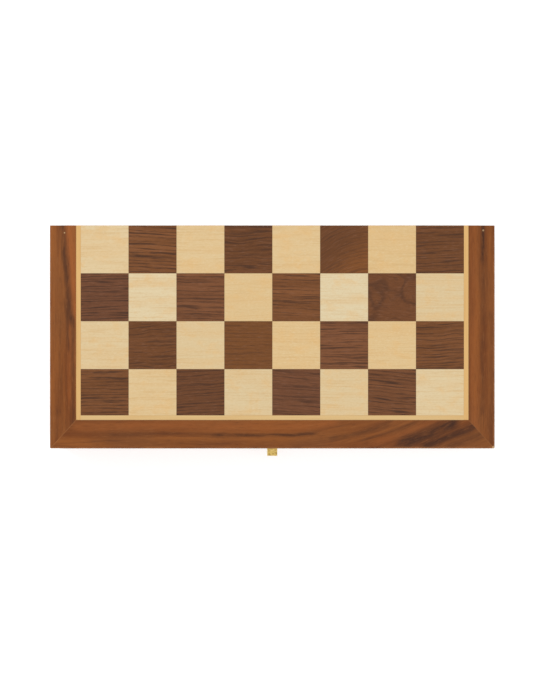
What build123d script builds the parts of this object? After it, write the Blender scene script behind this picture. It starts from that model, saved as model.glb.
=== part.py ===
from build123d import *
import math
import os

# Folding wooden chess set. The two outer faces of the closed case are the two halves of the board,
# and the chessmen lie in foam inside it.
# Millimetres. X runs across the board, -Y is the latch side, +Y the folding edge, +Z up.
# The origin is under the middle of the bounding box, at the level that the case rests on.
#
# Each half is drawn in its own half frame: y = 0 and z = 0 on the hinge axis, -y towards the latch,
# +z away from the plane where the halves meet, towards the playing face. The upper half is moved
# into place as drawn, and the lower half is mirrored first.

# Playing face of a half board
squares_across = 8
rows_per_half = 4
square = 41.0
front_row_depth = 39.6
border_strip = 4.1
side_rail_face = 22.4
front_rail_face = 24.3
veneer_thickness = 0.6
veneer_recess = 0.3

# Rails and panels
side_wall = 10.0
back_wall = 10.0
flange_thickness = 3.4
base_panel_thickness = 3.0
lining_thickness = 1.0
edge_rounding = 1.8
rim_easing = 0.6
corner_rounding = 1.5

# Clearances
fold_clearance = 0.15
rim_clearance = 0.15
seat_clearance = 0.3
running_clearance = 0.05
swing_clearance = 0.25
screw_clearance = 0.05

# Hinges
hinge_spacing = 240.0
hinge_length = 25.0
leaf_width = 9.0
leaf_thickness = 1.0
barrel_radius = 1.9
hinge_pin_radius = 0.9
knuckle_count = 5
knuckle_side_gap = 0.2
pocket_clearance = 0.1
hinge_screw_spacing = 15.0
hinge_screw_inset = 5.6

# Screws
screw_length = 6.0
screw_shank_radius = 0.85
screw_head_radius = 1.6
screw_head_height = 0.75
screw_slot_width = 0.45
screw_slot_depth = 0.3

# Latch: a plate with a swinging hasp on the upper half, a plate with a nose on the lower half
latch_width = 13.0
latch_plate_height = 12.6
latch_plate_thickness = 0.5
latch_plate_level = 2.6
latch_knuckle_radius = 1.5
latch_knuckle_width = 3.6
latch_axis_reach = 1.9
latch_pin_radius = 0.6
latch_corner = 1.2
hasp_width = 8.9
hasp_thickness = 0.8
hasp_standoff = 0.2
hasp_bend_depth = 9.4
hasp_tip_depth = 12.6
hasp_reach = 8.9
hasp_corner = 1.2
window_width = 4.8
window_height = 4.6
catch_plate_level = 1.6
catch_plate_height = 12.0
nose_width = 3.6
nose_height = 2.4
nose_depth = 5.6
nose_reach = 3.9
nose_rounding = 0.8
latch_screw_spacing = 8.6
latch_screw_inset = 2.4

# Chessmen: full height of the wood, and radius of the foot
king_height = 76.0
king_radius = 15.0
queen_height = 68.0
queen_radius = 14.0
bishop_height = 60.0
bishop_radius = 13.0
knight_height = 54.0
knight_radius = 13.0
rook_height = 45.0
rook_radius = 13.0
pawn_height = 42.0
pawn_radius = 11.5
felt_pad_thickness = 0.8
felt_pad_inset = 1.2
cross_thickness = 3.0
cross_arm = 3.4
cross_root_width = 1.8
cross_end_width = 3.6
rook_notch_width = 2.8
rook_notches = 6
queen_notches = 9
queen_notch_radius = 1.5
bishop_cut_width = 1.0
bishop_cut_tilt = 35.0
ear_gap = 1.6

# Storage: the chessmen of a half lie in two rows, heads towards the finger trough between them
row_margin = 2.0
end_margin = 8.0
staggered_gap = 1.2
face_gap = 1.2
head_overhang = 6.0
slot_clearance = 0.3
slot_corner = 2.0
men_per_row = 8

# How high the queen's coronet has its rim, as a share of its height
coronet_rim_share = 0.92

# Outlines of the turned chessmen from the foot up. Each station is a share of the foot's radius, a
# share of the height, and the outward bow of the stretch that ends there, as a share of its length.
king_outline = (
    (0.97, 0.000, 0.0), (0.97, 0.055, 0.08), (0.87, 0.075, 0.0), (0.80, 0.125, 0.18),
    (0.68, 0.140, 0.0), (0.36, 0.480, -0.07), (0.33, 0.560, 0.0), (0.62, 0.585, 0.0),
    (0.62, 0.605, 0.30), (0.42, 0.620, 0.0), (0.52, 0.635, 0.0), (0.52, 0.650, 0.30),
    (0.38, 0.665, 0.0), (0.60, 0.840, -0.10), (0.55, 0.862, 0.0), (0.14, 0.905, 0.12),
)
queen_outline = (
    (0.97, 0.000, 0.0), (0.97, 0.060, 0.08), (0.87, 0.082, 0.0), (0.80, 0.135, 0.18),
    (0.68, 0.150, 0.0), (0.36, 0.500, -0.07), (0.33, 0.600, 0.0), (0.62, 0.628, 0.0),
    (0.62, 0.650, 0.30), (0.42, 0.668, 0.0), (0.52, 0.684, 0.0), (0.52, 0.700, 0.30),
    (0.36, 0.716, 0.0), (0.64, coronet_rim_share, -0.14), (0.50, 0.925, 0.0), (0.42, 0.900, 0.0),
    (0.12, 0.950, 0.15),
)
bishop_outline = (
    (0.97, 0.000, 0.0), (0.97, 0.065, 0.08), (0.87, 0.088, 0.0), (0.80, 0.145, 0.18),
    (0.68, 0.160, 0.0), (0.34, 0.520, -0.07), (0.31, 0.600, 0.0), (0.60, 0.625, 0.0),
    (0.60, 0.645, 0.30), (0.38, 0.665, 0.0), (0.48, 0.682, 0.0), (0.48, 0.700, 0.30),
    (0.32, 0.715, 0.0), (0.46, 0.790, 0.22), (0.09, 0.955, 0.16),
)
rook_outline = (
    (0.97, 0.000, 0.0), (0.97, 0.085, 0.08), (0.87, 0.115, 0.0), (0.80, 0.190, 0.18),
    (0.70, 0.210, 0.0), (0.50, 0.600, -0.05), (0.47, 0.660, 0.0), (0.66, 0.690, 0.0),
    (0.66, 0.720, 0.30), (0.54, 0.750, 0.0), (0.70, 0.820, -0.10), (0.70, 1.000, 0.0),
    (0.50, 1.000, 0.0), (0.50, 0.900, 0.0),
)
pawn_outline = (
    (0.97, 0.000, 0.0), (0.97, 0.085, 0.08), (0.86, 0.115, 0.0), (0.80, 0.190, 0.18),
    (0.66, 0.210, 0.0), (0.36, 0.580, -0.08), (0.34, 0.630, 0.0), (0.60, 0.655, 0.0),
    (0.60, 0.685, 0.30), (0.36, 0.710, 0.0), (0.30, 0.765, -0.10),
)
knight_outline = (
    (0.97, 0.000, 0.0), (0.97, 0.075, 0.08), (0.87, 0.100, 0.0), (0.80, 0.165, 0.18),
    (0.70, 0.185, 0.0), (0.62, 0.240, -0.10), (0.76, 0.265, 0.0), (0.76, 0.295, 0.30),
)

# Widest radius above the foot, as a share of the foot's radius, which sets how wide the slots are
king_collar_share = 0.66
queen_collar_share = 0.66
bishop_collar_share = 0.64
rook_tower_share = 0.71
knight_muzzle_share = 0.89
pawn_collar_share = 0.65

# Details of the heads, as shares of the foot's radius or of the height
coronet_notch_share = 0.30
finial_share = 0.13
finial_waist_share = 0.5
finial_neck_share = 0.06
pawn_ball_share = 0.49
slot_foot_share = 0.24
cross_root_share = 0.89
rook_cup_share = 0.90
mitre_cut_share = 0.84
mitre_cut_offset_share = 0.10

# Horse's head, as shares of the foot's radius and of the height: the arched back of the neck, then
# the rest of the side view, then the half widths seen from the front and from above.
horse_neck = ((-0.66, 0.28), (-0.74, 0.50), (-0.62, 0.74), (-0.36, 0.90), (-0.16, 0.93))
horse_face = (
    (-0.16, 0.93), (-0.06, 1.00), (0.08, 0.90), (0.36, 0.83), (0.80, 0.70), (0.88, 0.62),
    (0.78, 0.555), (0.52, 0.555), (0.22, 0.60), (0.12, 0.52), (0.44, 0.40), (0.60, 0.28),
)
horse_front = ((0.54, 0.28), (0.52, 0.50), (0.38, 0.74), (0.36, 0.90), (0.16, 1.00))
horse_plan = ((-0.80, 0.56), (0.10, 0.56), (0.90, 0.26))

# Sizes that follow from those above
board_side = squares_across * square + 2 * (border_strip + side_rail_face)
half_depth = (rows_per_half - 1) * square + front_row_depth + border_strip + front_rail_face
front_wall = side_wall * front_rail_face / side_rail_face
inner_half_width = board_side / 2 - side_wall
well_half_width = board_side / 2 - side_rail_face
squares_half_width = squares_across * square / 2

# The next half's row is shifted by half a pitch, so that its chessmen lie between these. A king and
# a pawn that lie side by side in opposite halves set how deep the halves are.
slot_pitch = 2 * (inner_half_width - row_margin) / (men_per_row + 0.5)
row_shift = slot_pitch / 4
king_pawn_distance = king_radius + pawn_radius + staggered_gap
king_pawn_rise = math.sqrt(king_pawn_distance ** 2 - (2 * row_shift) ** 2)
lining_level = (king_pawn_rise + king_radius + pawn_radius) / 2 + seat_clearance
king_past_rim = 2 * king_radius + seat_clearance - lining_level
foam_thickness = lining_level - king_past_rim - face_gap

# Levels above the plane where the halves meet
rim_level = rim_clearance
foam_level = lining_level - foam_thickness
panel_level = lining_level + lining_thickness
flange_level = panel_level + base_panel_thickness
half_height = flange_level + flange_thickness
veneer_level = half_height - veneer_recess - veneer_thickness

# Planes across the half, from the hinge axis towards the latch
back_face = -fold_clearance
back_inner = back_face - back_wall
front_face = back_face - half_depth
front_inner = front_face + front_wall
well_front = front_face + front_rail_face
squares_front = well_front + border_strip

# Where the hinge axis lies, which centres the bounding box on the origin
axis_y = (half_depth + fold_clearance + hasp_reach - barrel_radius) / 2
axis_z = half_height

hinge_places = {"left": -hinge_spacing / 2, "right": hinge_spacing / 2}
lower_knuckles = range(0, knuckle_count, 2)
upper_knuckles = range(1, knuckle_count, 2)
latch_axis_y = front_face - latch_axis_reach
latch_axis_z = latch_plate_level


def block(x_range, y_range, z_range):
    """Box between three pairs of coordinates."""
    ranges = [sorted(pair) for pair in (x_range, y_range, z_range)]
    sizes = [high - low for low, high in ranges]
    middle = [(high + low) / 2 for low, high in ranges]
    return Pos(*middle) * Box(*sizes)


def across(half_width):
    """Pair of X coordinates, the same distance to either side."""
    return (-half_width, half_width)


def rod(radius, x_range):
    """Round bar along X, centred on the X axis."""
    low, high = x_range
    return Pos((low + high) / 2, 0, 0) * Rot(Y=90) * Cylinder(radius, high - low)


def prism(corners, height):
    """Upright prism over a plan outline."""
    return extrude(make_face(Polyline(*corners, close=True)), height)


def on_upper(shape):
    """Move a shape from the half frame to the upper half."""
    return Pos(0, axis_y, axis_z) * shape


def on_lower(shape):
    """Mirror a shape from the half frame to the lower half."""
    return Pos(0, axis_y, axis_z) * mirror(shape, about=Plane.XY)


def group(solids):
    """Identical separate pieces that share a node."""
    return Compound([solid for shape in solids for solid in shape.solids()])


# Screws

def screw_form(gap=0.0):
    """Countersunk screw with its head in the XY plane and its shank along +Z, or with a gap its hole."""
    shank_length = screw_length - screw_head_height + gap
    head = Cone(screw_head_radius + gap, screw_shank_radius + gap, screw_head_height)
    shank = Cylinder(screw_shank_radius + gap, shank_length)
    shank_middle = screw_head_height + shank_length / 2
    return Pos(0, 0, screw_head_height / 2) * head + Pos(0, 0, shank_middle) * shank


def screw():
    """Screw with a straight slot."""
    slot_length = 2 * screw_head_radius
    slot = block(across(slot_length), across(screw_slot_width / 2), (0, screw_slot_depth))
    return screw_form() - slot


def screw_hole():
    return screw_form(screw_clearance)


def hinge_screw_spots(centre):
    """Where the screws of one hinge leaf enter the rim of the back rail."""
    spots = [centre - hinge_screw_spacing / 2, centre + hinge_screw_spacing / 2]
    return [Pos(x, -hinge_screw_inset, rim_level) for x in spots]


def plate_screw_spots(level):
    """Where the two screws of a latch plate enter the front rail, at a height above the rim plane."""
    plate_front = front_face - latch_plate_thickness
    spots = across(latch_screw_spacing / 2)
    return [Pos(x, plate_front, level) * Rot(X=-90) for x in spots]


upper_plate_screws = latch_plate_level + latch_plate_height - latch_screw_inset
lower_plate_screws = catch_plate_level + catch_plate_height - latch_screw_inset


# Rails

def rail_section(face_width, wall):
    """L-shaped section: a wall, and a flange that frames the playing face."""
    corners = [
        (0, rim_level), (wall, rim_level), (wall, flange_level),
        (face_width, flange_level), (face_width, half_height), (0, half_height),
    ]
    section = make_face(Polyline(*corners, close=True))
    for corner, radius in (((0, half_height), edge_rounding), ((0, rim_level), rim_easing)):
        section = fillet(section.vertices().sort_by_distance(corner)[0], radius)
    return section


def case_plan():
    """Plan of a half with its two front corners rounded, as a prism."""
    half_side = board_side / 2
    front_corners = [(-half_side, front_face), (half_side, front_face)]
    corners = [*front_corners, (half_side, back_face), (-half_side, back_face)]
    plan = make_face(Polyline(*corners, close=True))
    for corner in front_corners:
        plan = fillet(plan.vertices().sort_by_distance(corner)[0], corner_rounding)
    return extrude(plan, half_height)


def left_rail():
    """Side rail, mitred where it meets the front rail."""
    section = Plane.XZ * rail_section(side_rail_face, side_wall)
    bar = Pos(-board_side / 2, back_face, 0) * extrude(section, half_depth)
    outer = -board_side / 2
    inner = -well_half_width
    corners = [(outer, back_face), (outer, front_face), (inner, well_front), (inner, back_face)]
    return bar & prism(corners, half_height) & case_plan()


def right_rail():
    return mirror(left_rail(), about=Plane.YZ)


def front_rail(screw_level):
    """Front rail, mitred at both ends and drilled for the screws of its latch plate."""
    section = Plane.YZ * rail_section(front_rail_face, front_wall)
    bar = Pos(-board_side / 2, front_face, 0) * extrude(section, board_side)
    outer = board_side / 2
    inner = well_half_width
    corners = [(-outer, front_face), (outer, front_face), (inner, well_front), (-inner, well_front)]
    rail = bar & prism(corners, half_height) & case_plan()
    for spot in plate_screw_spots(screw_level):
        rail -= spot * screw_hole()
    return rail


def hinge_pocket():
    """Room for a hinge in the rim of the back rail: the leaf's recess and a trough round the barrel."""
    reach = hinge_length / 2 + pocket_clearance
    recess = block(across(reach), (-leaf_width - pocket_clearance, 0), (0, rim_level + leaf_thickness))
    return recess + rod(barrel_radius + swing_clearance, across(reach))


def back_rail():
    """Rail at the fold, between the side rails and up to the underside of the veneer."""
    depth = (back_inner, back_face)
    rail = block(across(inner_half_width), depth, (rim_level, flange_level))
    rail += block(across(well_half_width), depth, (flange_level, veneer_level))
    for centre in hinge_places.values():
        rail -= Pos(centre, 0, 0) * hinge_pocket()
        for spot in hinge_screw_spots(centre):
            rail -= spot * screw_hole()
    return rail


# Panels and veneers

def base_panel():
    """Panel under the flanges, from wall to wall."""
    return block(across(inner_half_width), (front_inner, back_inner), (panel_level, flange_level))


def playfield_core():
    """Board that fills the well between the flanges and carries the veneer."""
    return block(across(well_half_width), (well_front, back_inner), (flange_level, veneer_level))


def veneer_tile(x_range, y_range):
    return block(x_range, y_range, (veneer_level, veneer_level + veneer_thickness))


def row_range(row):
    """Front and back edge of a row of squares, counted from the latch side."""
    back = back_face - (rows_per_half - 1 - row) * square
    front = squares_front if row == 0 else back - square
    return (front, back)


def squares(shade, first_row_shade):
    """Tiles of one shade. The first row's leftmost square has the parity given."""
    tiles = []
    for row in range(rows_per_half):
        for column in range(squares_across):
            left = -squares_half_width + column * square
            if (row + column + first_row_shade) % 2 == shade:
                tiles.append(veneer_tile((left, left + square), row_range(row)))
    return group(tiles)


def border_strips():
    """Three strips between the squares and the frame, mitred at the two front corners."""
    outer = well_half_width
    inner = squares_half_width
    side_plan = [(-outer, back_face), (-outer, well_front), (-inner, squares_front), (-inner, back_face)]
    front_plan = [(-outer, well_front), (outer, well_front), (inner, squares_front), (-inner, squares_front)]
    side = Pos(0, 0, veneer_level) * prism(side_plan, veneer_thickness)
    front = Pos(0, 0, veneer_level) * prism(front_plan, veneer_thickness)
    return group([side, front, mirror(side, about=Plane.YZ)])


def lining():
    """Felt on the inside of the base panel."""
    width = inner_half_width - seat_clearance
    depth = (front_inner + seat_clearance, back_inner - seat_clearance)
    return block(across(width), depth, (lining_level, panel_level))


# Hinges

def knuckle_range(index):
    """X coordinates of one knuckle, short of its neighbours by the side gap."""
    pitch = hinge_length / knuckle_count
    start = -hinge_length / 2 + index * pitch
    return (start + knuckle_side_gap / 2, start + pitch - knuckle_side_gap / 2)


def hinge_leaf(centre, knuckles):
    """Leaf of a butt hinge with its share of the knuckles, let into the rim of the back rail."""
    thickness = (rim_level, rim_level + leaf_thickness)
    plate_edge = -(barrel_radius + swing_clearance)
    leaf = block(across(hinge_length / 2), (-leaf_width, plate_edge), thickness)
    for index in knuckles:
        span = knuckle_range(index)
        leaf += block(span, (plate_edge, 0), thickness)
        leaf += rod(barrel_radius, span)
    leaf -= rod(hinge_pin_radius + running_clearance, across(hinge_length))
    leaf = Pos(centre, 0, 0) * leaf
    for spot in hinge_screw_spots(centre):
        leaf -= spot * screw_hole()
    return leaf


def hinge_pin(centre):
    return Pos(centre, 0, 0) * rod(hinge_pin_radius, across(hinge_length / 2))


# Latch

def latch_bar(radius, x_range):
    """Round bar on the axis that the hasp swings about."""
    return Pos(0, latch_axis_y, latch_axis_z) * rod(radius, x_range)


def plate(low, height):
    """Flat plate on the front face with rounded corners."""
    face = RectangleRounded(latch_width, height, latch_corner)
    flat = extrude(Plane.XZ * face, latch_plate_thickness)
    return Pos(0, front_face, low + height / 2) * flat


def latch_plate():
    """Upper plate, with two knuckles on its lower edge that are as wide together as the hasp."""
    shape = plate(latch_plate_level, latch_plate_height)
    ends = [(-hasp_width / 2, -latch_knuckle_width / 2), (latch_knuckle_width / 2, hasp_width / 2)]
    tongue_level = (latch_axis_z, latch_axis_z + latch_knuckle_radius)
    for low, high in ends:
        span = (low + knuckle_side_gap, high) if low > 0 else (low, high - knuckle_side_gap)
        shape += block(span, (front_face - latch_plate_thickness, latch_axis_y), tongue_level)
        shape += latch_bar(latch_knuckle_radius, span)
    shape -= latch_bar(latch_knuckle_radius + swing_clearance, across(latch_knuckle_width / 2))
    shape -= latch_bar(latch_pin_radius + running_clearance, across(latch_width))
    for spot in plate_screw_spots(upper_plate_screws):
        shape -= spot * screw_hole()
    return shape


def hasp_side():
    """Side view of the strap and its finger tab: out from the front face, and up."""
    back = latch_axis_reach + hasp_standoff
    front = back + hasp_thickness
    bend = -hasp_bend_depth
    tip = -hasp_tip_depth
    slope = math.atan2(bend - tip, hasp_reach - front)
    tip_drop = hasp_thickness * math.cos(slope)
    tip_back = hasp_thickness * math.sin(slope)
    return [
        (back, latch_axis_z), (back, bend - tip_drop), (hasp_reach - tip_back, tip - tip_drop),
        (hasp_reach, tip), (front, bend), (front, latch_axis_z),
    ]


def hasp():
    """Strap that swings on the latch pin, with a window for the nose and a flared finger tab."""
    corners = [(front_face - out, up) for out, up in hasp_side()]
    profile = Plane.YZ * make_face(Polyline(*corners, close=True))
    bent_plate = extrude(profile, hasp_width / 2, both=True)
    top = latch_axis_z - latch_knuckle_radius - swing_clearance
    bottom = min(up for out, up in hasp_side())
    front_view = RectangleRounded(hasp_width, 2 * (top - bottom), hasp_corner)
    front_view = front_view & Pos(0, (bottom - top) / 2) * Rectangle(hasp_width, top - bottom)
    outline = Pos(0, front_face, top) * extrude(Plane.XZ * front_view, 2 * hasp_reach)
    neck_width = latch_knuckle_width / 2 - knuckle_side_gap
    neck = block(across(neck_width), (front_face - 2 * hasp_reach, front_face), (top, latch_axis_z))
    strap = bent_plate & (outline + neck)
    strap += latch_bar(latch_knuckle_radius, across(neck_width))
    strap -= latch_bar(latch_pin_radius + running_clearance, across(latch_width))
    window_middle = -nose_depth - swing_clearance
    window_levels = (window_middle - window_height / 2, window_middle + window_height / 2)
    strap -= block(across(window_width / 2), (front_face - 2 * hasp_reach, front_face), window_levels)
    return strap


def catch_plate():
    """Lower plate, with the nose that the hasp's window drops over."""
    shape = plate(catch_plate_level, catch_plate_height)
    nose = block(
        across(nose_width / 2),
        (front_face - latch_plate_thickness / 2, front_face - nose_reach),
        (nose_depth - nose_height / 2, nose_depth + nose_height / 2),
    )
    tip_edges = nose.faces().sort_by(Axis.Y)[0].edges()
    shape += fillet(tip_edges, nose_rounding)
    for spot in plate_screw_spots(lower_plate_screws):
        shape -= spot * screw_hole()
    return shape


def latch_pin():
    return latch_bar(latch_pin_radius, across(hasp_width / 2))


# Chessmen, each standing on the XY plane

def turned(outline, radius, height):
    """Solid of revolution under an outline given in shares."""
    points = [(share * radius, rise * height) for share, rise, bow in outline]
    edges = [Line((0, 0), points[0])]
    for start, end, station in zip(points, points[1:], outline[1:]):
        bow = station[2] * math.dist(start, end)
        edges.append(SagittaArc(start, end, -bow) if bow else Line(start, end))
    edges.append(Line(points[-1], (0, points[-1][1])))
    edges.append(Line((0, points[-1][1]), (0, 0)))
    return revolve(Plane.XZ * make_face(edges), Axis.Z)


def finial(radius, height):
    """Ball at the top of a chessman, on a short neck that roots it in the head."""
    ball = finial_share * radius
    neck_length = finial_neck_share * height
    neck = Cylinder(finial_waist_share * ball, neck_length)
    return Pos(0, 0, height - ball) * Sphere(ball) + Pos(0, 0, height - ball - neck_length / 2) * neck


def king():
    """Turned king with a cross of flared arms on its crown."""
    root = cross_root_share * king_height
    centre = king_height - cross_arm
    arm_plan = [
        (-cross_root_width / 2, 0), (cross_root_width / 2, 0),
        (cross_end_width / 2, cross_arm), (-cross_end_width / 2, cross_arm),
    ]
    arm = extrude(Plane.XZ * make_face(Polyline(*arm_plan, close=True)), cross_thickness / 2, both=True)
    shape = turned(king_outline, king_radius, king_height)
    shape += block(across(cross_root_width / 2), across(cross_thickness / 2), (root, centre))
    for turn in (-90, 0, 90):
        shape += Pos(0, 0, centre) * Rot(Y=turn) * arm
    return shape


def queen():
    """Turned queen with a scalloped coronet."""
    shape = turned(queen_outline, queen_radius, queen_height) + finial(queen_radius, queen_height)
    rim = coronet_rim_share * queen_height + queen_notch_radius / 2
    for index in range(queen_notches):
        notch = rod(queen_notch_radius, (coronet_notch_share * queen_radius, queen_radius))
        shape -= Pos(0, 0, rim) * Rot(Z=index * 360 / queen_notches) * notch
    return shape


def bishop():
    """Turned bishop with a slanting cut in its mitre."""
    shape = turned(bishop_outline, bishop_radius, bishop_height) + finial(bishop_radius, bishop_height)
    reach = bishop_radius
    cut = block((0, reach), across(reach), across(bishop_cut_width / 2))
    place = Pos(mitre_cut_offset_share * bishop_radius, 0, mitre_cut_share * bishop_height)
    return shape - place * Rot(Y=-bishop_cut_tilt) * cut


def rook():
    """Turned rook with notches round the rim of its tower."""
    shape = turned(rook_outline, rook_radius, rook_height)
    notch_levels = (rook_cup_share * rook_height, 2 * rook_height)
    for index in range(rook_notches):
        notch = block((0, rook_radius), across(rook_notch_width / 2), notch_levels)
        shape -= Rot(Z=index * 360 / rook_notches) * notch
    return shape


def pawn():
    """Turned pawn with a ball for its head."""
    ball = pawn_ball_share * pawn_radius
    return turned(pawn_outline, pawn_radius, pawn_height) + Pos(0, 0, pawn_height - ball) * Sphere(ball)


def horse_head():
    """Horse's head: what its side view, front view and plan have in common."""
    def scaled(points):
        return [(share * knight_radius, rise * knight_height) for share, rise in points]

    face = scaled(horse_face)
    side = make_face([Spline(*scaled(horse_neck)), Polyline(*face), Line(face[-1], scaled(horse_neck)[0])])
    right = scaled(horse_front)
    front = make_face(Polyline(*right, *[(-x, z) for x, z in reversed(right)], close=True))
    far = [(x * knight_radius, y * knight_radius) for x, y in horse_plan]
    plan = prism(far + [(x, -y) for x, y in reversed(far)], knight_height)
    head = extrude(Plane.XZ * side, knight_radius, both=True)
    head = head & extrude(Plane.YZ * front, knight_radius, both=True) & plan
    ear_levels = (horse_neck[-1][1] * knight_height, 2 * knight_height)
    return head - block(across(knight_radius), across(ear_gap / 2), ear_levels)


def knight():
    """Turned foot with a carved horse's head."""
    return turned(knight_outline, knight_radius, knight_height) + horse_head()


# Each kind of chessman: its maker, height, foot radius, and the widest radius above the foot
kinds = {
    "king": (king, king_height, king_radius, king_collar_share * king_radius),
    "queen": (queen, queen_height, queen_radius, queen_collar_share * queen_radius),
    "bishop": (bishop, bishop_height, bishop_radius, bishop_collar_share * bishop_radius),
    "knight": (knight, knight_height, knight_radius, knight_muzzle_share * knight_radius),
    "rook": (rook, rook_height, rook_radius, rook_tower_share * rook_radius),
    "pawn": (pawn, pawn_height, pawn_radius, pawn_collar_share * pawn_radius),
}
officers = ("rook", "knight", "bishop", "queen", "king", "bishop", "knight", "rook")
pawns = ("pawn",) * men_per_row


def head_line(row, direction):
    """Where the heads of a row end. Its feet are towards the wall, against the direction."""
    longest = max(kinds[kind][1] for kind in row)
    wall = front_inner if direction > 0 else back_inner
    return wall + direction * (end_margin + felt_pad_thickness + longest)


def foot_line(kind, row, direction):
    return head_line(row, direction) - direction * kinds[kind][1]


def slot_x(index, shift):
    return (index - (men_per_row - 1) / 2) * slot_pitch + shift


def lying(shape, kind, row, direction, x):
    """Lay a standing shape in its slot, just clear of the lining."""
    level = lining_level - seat_clearance - kinds[kind][2]
    return Pos(x, foot_line(kind, row, direction), level) * Rot(X=-90 * direction) * shape


def felt_pad(kind):
    """Disc of felt under the foot of a chessman."""
    radius = kinds[kind][2] - felt_pad_inset
    return Pos(0, 0, -felt_pad_thickness / 2) * Cylinder(radius, felt_pad_thickness)


def slot(kind, row, direction, x):
    """Cut for one chessman: wide at the foot, narrower from there to the finger trough."""
    maker, height, radius, body_radius = kinds[kind]
    foot = foot_line(kind, row, direction)
    start = foot - direction * (felt_pad_thickness + slot_clearance)
    shoulder = foot + direction * slot_foot_share * height
    end = head_line(row, direction) + direction * head_overhang
    wide = radius + slot_clearance
    narrow = body_radius + slot_clearance
    foot_plan = RectangleRounded(2 * wide, abs(shoulder - start), slot_corner)
    foot_cut = extrude(Pos(x, (start + shoulder) / 2, 0) * foot_plan, half_height)
    overlap = shoulder - direction * slot_corner
    return foot_cut + block((x - narrow, x + narrow), (overlap, end), (0, half_height))


def foam(row, direction, shift):
    """Block of foam with a slot for each chessman of a row, open to the finger trough."""
    wall = front_inner if direction > 0 else back_inner
    near = wall + direction * seat_clearance
    far = head_line(row, direction) - direction * head_overhang
    shape = block(across(inner_half_width - seat_clearance), (near, far), (foam_level, lining_level))
    for index, kind in enumerate(row):
        shape -= slot(kind, row, direction, slot_x(index, shift))
    return shape


def chessmen(colour, officer_direction, shift, place):
    """The sixteen men of one colour and their felt pads, laid in the two rows of a half."""
    men = {}
    pads = []
    pawn_solids = []
    seen = {}
    for row, direction in ((officers, officer_direction), (pawns, -officer_direction)):
        for index, kind in enumerate(row):
            x = slot_x(index, shift)
            man = place(lying(kinds[kind][0](), kind, row, direction, x))
            pads.append(place(lying(felt_pad(kind), kind, row, direction, x)))
            if kind == "pawn":
                pawn_solids.append(man)
                continue
            seen[kind] = seen.get(kind, 0) + 1
            suffix = f"_{seen[kind]}" if officers.count(kind) > 1 else ""
            men[f"{colour}_{kind}{suffix}"] = man
    men[f"{colour}_pawns"] = group(pawn_solids)
    men[f"{colour}_felt_pads"] = group(pads)
    return men


def case_half(name, place, officer_direction, shift, dark_first, plate_screws, knuckles):
    """The wooden half, its lining and foam, its hinge leaves and its screws."""
    pieces = {
        f"{name}_front_rail": front_rail(plate_screws),
        f"{name}_left_rail": left_rail(),
        f"{name}_right_rail": right_rail(),
        f"{name}_back_rail": back_rail(),
        f"{name}_base_panel": base_panel(),
        f"{name}_playfield_core": playfield_core(),
        f"{name}_dark_squares": squares(0, dark_first),
        f"{name}_light_squares": squares(1, dark_first),
        f"{name}_border_strips": border_strips(),
        f"{name}_lining": lining(),
        f"{name}_officer_foam": foam(officers, officer_direction, shift),
        f"{name}_pawn_foam": foam(pawns, -officer_direction, shift),
    }
    spots = plate_screw_spots(plate_screws)
    for side, centre in hinge_places.items():
        pieces[f"{side}_hinge_{name}_leaf"] = hinge_leaf(centre, knuckles)
        spots += hinge_screw_spots(centre)
    pieces[f"{name}_screws"] = group([spot * screw() for spot in spots])
    return {node: place(shape) for node, shape in pieces.items()}


nodes = {}
nodes.update(case_half("lower", on_lower, 1, -row_shift, 1, lower_plate_screws, lower_knuckles))
nodes.update(case_half("upper", on_upper, -1, row_shift, 0, upper_plate_screws, upper_knuckles))
for side, centre in hinge_places.items():
    nodes[f"{side}_hinge_pin"] = on_lower(hinge_pin(centre))
nodes["latch_plate"] = on_upper(latch_plate())
nodes["latch_pin"] = on_upper(latch_pin())
nodes["latch_hasp"] = on_upper(hasp())
nodes["catch_plate"] = on_lower(catch_plate())
nodes.update(chessmen("white", 1, -row_shift, on_lower))
nodes.update(chessmen("black", -1, row_shift, on_upper))

os.makedirs("parts", exist_ok=True)
for node, shape in nodes.items():
    export_step(shape, f"parts/{node}.step")
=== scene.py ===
import math

import bmesh
import bpy
import numpy as np
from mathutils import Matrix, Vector


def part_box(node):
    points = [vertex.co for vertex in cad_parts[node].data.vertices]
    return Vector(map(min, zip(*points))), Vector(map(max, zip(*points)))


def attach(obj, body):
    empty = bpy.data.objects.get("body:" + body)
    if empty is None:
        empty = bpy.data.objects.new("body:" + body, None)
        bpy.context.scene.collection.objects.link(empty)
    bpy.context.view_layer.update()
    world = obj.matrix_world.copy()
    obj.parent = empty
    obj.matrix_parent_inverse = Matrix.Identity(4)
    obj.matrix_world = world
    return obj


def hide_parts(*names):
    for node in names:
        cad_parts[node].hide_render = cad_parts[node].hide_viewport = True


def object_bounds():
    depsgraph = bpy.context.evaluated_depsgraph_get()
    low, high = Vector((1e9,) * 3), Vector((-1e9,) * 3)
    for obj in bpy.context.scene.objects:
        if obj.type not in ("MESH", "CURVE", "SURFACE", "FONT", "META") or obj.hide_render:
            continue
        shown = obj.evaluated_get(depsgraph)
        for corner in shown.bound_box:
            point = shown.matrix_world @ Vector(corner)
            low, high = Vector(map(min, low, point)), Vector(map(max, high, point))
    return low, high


# Folding wooden chess set, seen from straight above with its case shut. The two outer faces of the case
# are the two halves of the board, and the chessmen lie in flocked foam inside it.
# Metres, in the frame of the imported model: X across the board, -Y the latch side, +Z up.

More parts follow.
